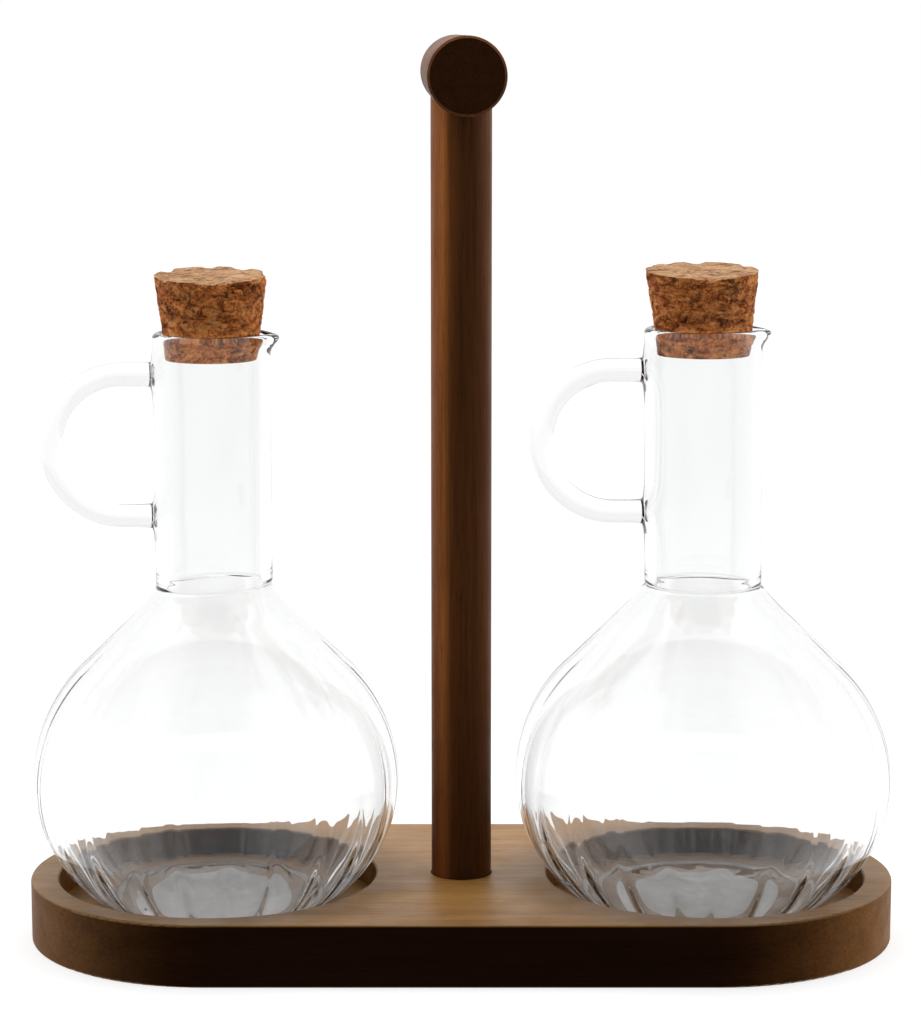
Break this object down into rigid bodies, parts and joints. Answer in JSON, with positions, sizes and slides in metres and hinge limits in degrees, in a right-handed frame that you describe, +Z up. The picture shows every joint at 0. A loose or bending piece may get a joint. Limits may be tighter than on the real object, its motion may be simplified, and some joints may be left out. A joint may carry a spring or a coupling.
{
  "type": "cruet set",
  "caption": "Oil and vinegar cruets: corked round glass bottles with loop handles, standing in recesses of a stadium-shaped wooden stand with a T-shaped carrying handle.",
  "frame": {"origin": "centre of the base board's underside", "axes": "+Z up along the post, +X along the base towards the bottles' pouring lips, -Y towards the front"},
  "size_m": [0.224, 0.0974, 0.232],
  "materials": {
    "walnut_wood": "satin",
    "dowel_wood": "matte",
    "screw_steel": "satin",
    "clear_glass": "gloss",
    "cork": "matte"
  },
  "bodies": {
    "stand": {"base_board": "walnut_wood", "post": "walnut_wood", "crossbar": "walnut_wood", "crossbar_dowel": "dowel_wood", "base_screw": "screw_steel"},
    "left_bottle": {"left_bowl": "clear_glass", "left_neck": "clear_glass", "left_handle": "clear_glass"},
    "left_stopper": {"left_cork": "cork"},
    "right_bottle": {"right_bowl": "clear_glass", "right_neck": "clear_glass", "right_handle": "clear_glass"},
    "right_stopper": {"right_cork": "cork"}
  },
  "joints": [
    {"name": "left_bottle_lift", "type": "slide", "parent": "stand", "child": "left_bottle", "axis": [0, 0, 1], "range_m": [0, 0.24]},
    {"name": "left_cork_pull", "type": "slide", "parent": "left_bottle", "child": "left_stopper", "axis": [0, 0, 1], "range_m": [0, 0.1]},
    {"name": "right_bottle_lift", "type": "slide", "parent": "stand", "child": "right_bottle", "axis": [0, 0, 1], "range_m": [0, 0.24]},
    {"name": "right_cork_pull", "type": "slide", "parent": "right_bottle", "child": "right_stopper", "axis": [0, 0, 1], "range_m": [0, 0.1]}
  ]
}
